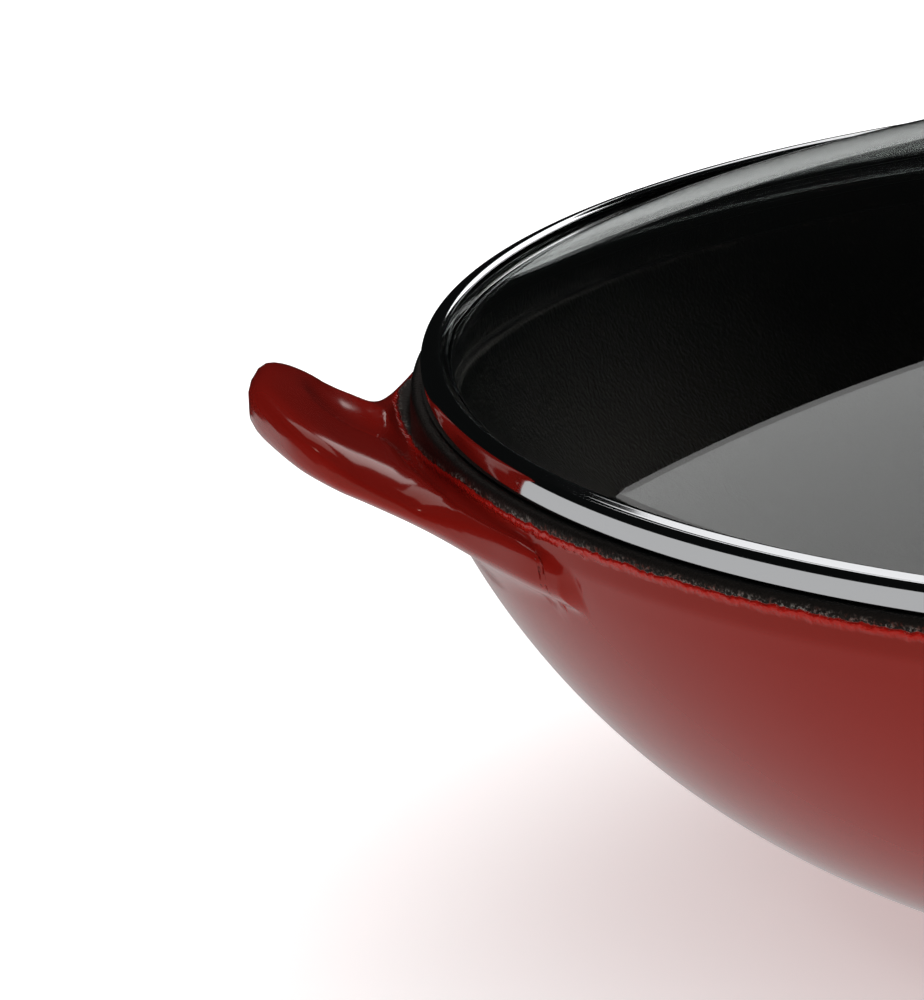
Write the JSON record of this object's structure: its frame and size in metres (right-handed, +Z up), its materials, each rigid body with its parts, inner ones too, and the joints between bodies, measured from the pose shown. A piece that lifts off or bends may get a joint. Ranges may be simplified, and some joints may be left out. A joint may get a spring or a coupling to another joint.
{
  "type": "lidded two-handled pan",
  "caption": "Wide enamelled cast-iron pan with curved sides and lug handles, under a domed glass lid with a steel band, vent and knob.",
  "frame": {"origin": "centre of the flat foot, on the surface the pan stands on", "axes": "+Z up; +X and -X along the two lug handles; +Y towards the lid's vent"},
  "size_m": [0.4184, 0.36, 0.1595],
  "materials": {
    "enamelled_iron": "glossy red vitreous enamel outside, black enamel inside and on the rim",
    "steel_band": "mirror-polished stainless steel",
    "steel_plain": "plain stainless steel",
    "clear_glass": "clear tempered glass",
    "silicone": "translucent grey silicone",
    "knob_resin": "black heat-proof phenolic resin",
    "brass": "plain turned brass"
  },
  "bodies": {
    "pan": {"wok_body": "enamelled_iron"},
    "lid": {"lid_band": "steel_band", "band_seal": "silicone", "lid_glass": "clear_glass", "vent_eyelet": "steel_plain", "seal_washer_upper": "silicone", "knob_plate": "steel_band", "seal_washer_lower": "silicone", "flat_washer": "steel_plain", "knob_screw": "steel_plain", "knob_insert": "brass", "knob": "knob_resin"}
  },
  "joints": [
    {"name": "lid_lift", "type": "slide", "parent": "pan", "child": "lid", "axis": [0, 0, 1], "range_m": [0, 0.12]}
  ]
}
